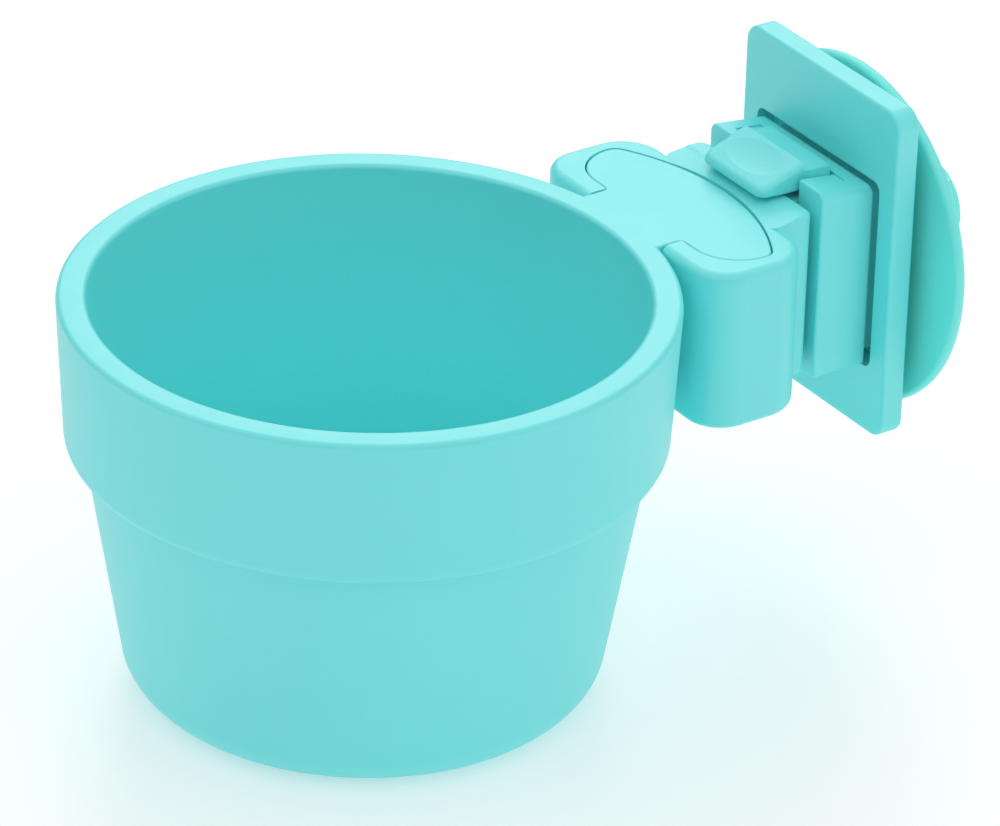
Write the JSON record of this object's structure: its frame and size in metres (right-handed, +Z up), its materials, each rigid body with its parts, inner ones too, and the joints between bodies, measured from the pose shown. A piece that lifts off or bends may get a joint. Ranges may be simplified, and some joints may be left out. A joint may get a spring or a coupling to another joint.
{
  "type": "seed cup",
  "caption": "Round hanging seed cup whose tongue drops into a clip-on holder; the holder slides into a cage plate that a bolt, disc and knob clamp over the wires.",
  "frame": {"origin": "middle of the cage plate's cage side", "axes": "+Z up; +Y out of the cage plate through the cage wires, away from the cup; +X to the right for someone who looks along +Y"},
  "size_m": [0.1, 0.1638, 0.087],
  "materials": {
    "cup_mint": "satin moulded plastic",
    "holder_mint": "satin moulded plastic",
    "bracket_mint": "satin moulded plastic",
    "clamp_mint": "satin moulded plastic",
    "bolt_steel": "zinc plated"
  },
  "bodies": {
    "bracket": {"cage_plate": "bracket_mint", "rail_sleeve": "bracket_mint", "clamp_bolt": "bolt_steel"},
    "holder": {"holder": "holder_mint"},
    "latch": {"release_latch": "holder_mint"},
    "cup": {"cup": "cup_mint"},
    "disc": {"clamp_disc": "clamp_mint"},
    "knob": {"clamp_knob": "clamp_mint"}
  },
  "joints": [
    {"name": "holder_slide", "type": "slide", "parent": "bracket", "child": "holder", "axis": [0, 0, 1], "range_m": [0, 0.032]},
    {"name": "latch_flex", "type": "hinge", "parent": "holder", "child": "latch", "pos_m": [0, -0.009, -0.0125], "axis": [1, 0, 0], "range_deg": [0, 1.8], "stiffness_Nm_per_rad": 0.5},
    {"name": "cup_lift", "type": "slide", "parent": "holder", "child": "cup", "axis": [0, 0, 1], "range_m": [0, 0.03]},
    {"name": "clamp_travel", "type": "slide", "parent": "bracket", "child": "disc", "axis": [0, 1, 0], "range_m": [-0.0022, 0.005]},
    {"name": "knob_turn", "type": "hinge", "parent": "disc", "child": "knob", "pos_m": [0, 0.012, -0.001], "axis": [0, 1, 0], "range_deg": [-630, 1440]}
  ],
  "couplings": [
    {"joint": "clamp_travel", "follows": "knob_turn", "m_per_rad": 0.00019894}
  ]
}
